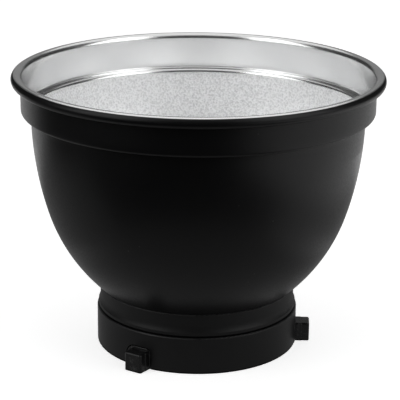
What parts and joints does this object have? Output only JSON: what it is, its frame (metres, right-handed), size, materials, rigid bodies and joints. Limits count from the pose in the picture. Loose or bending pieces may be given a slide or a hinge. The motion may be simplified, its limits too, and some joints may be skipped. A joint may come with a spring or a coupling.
{
  "type": "studio flash reflector",
  "caption": "Deep spun flash reflector, black outside and hammered bright inside, with a rolled rim, grid collar and lugged bayonet ring.",
  "frame": {"origin": "on the reflector's axis, in the plane of the bayonet ring's bottom edge, which it stands on", "axes": "+Z along the reflector's axis, from the bayonet ring towards the mouth; the lugs are 32.6 degrees from -Y towards -X, and every 120 degrees from there"},
  "size_m": [0.22, 0.22, 0.1672],
  "materials": {
    "shell_black": "satin black coat on spun aluminium, fine grain",
    "inner_bright": "bright satin, smooth",
    "inner_hammered": "bright, finely hammered",
    "bright_aluminium": "turned, satin",
    "neck_black": "satin black coat",
    "ring_black": "semi-matte black coat",
    "lug_black": "semi-matte black coat on cast metal",
    "screw_steel": "zinc-plated steel",
    "screw_black": "blackened steel"
  },
  "bodies": {
    "root": {"reflector_shell": "shell_black", "neck_ring": "neck_black", "throat_clamp_ring": "bright_aluminium", "throat_screws": "screw_steel", "bayonet_ring": "ring_black", "ring_screws": "screw_black", "bayonet_lug_1": "lug_black", "bayonet_lug_2": "lug_black", "bayonet_lug_3": "lug_black", "lug_screws_1": "screw_black", "lug_screws_2": "screw_black", "lug_screws_3": "screw_black"}
  },
  "joints": []
}
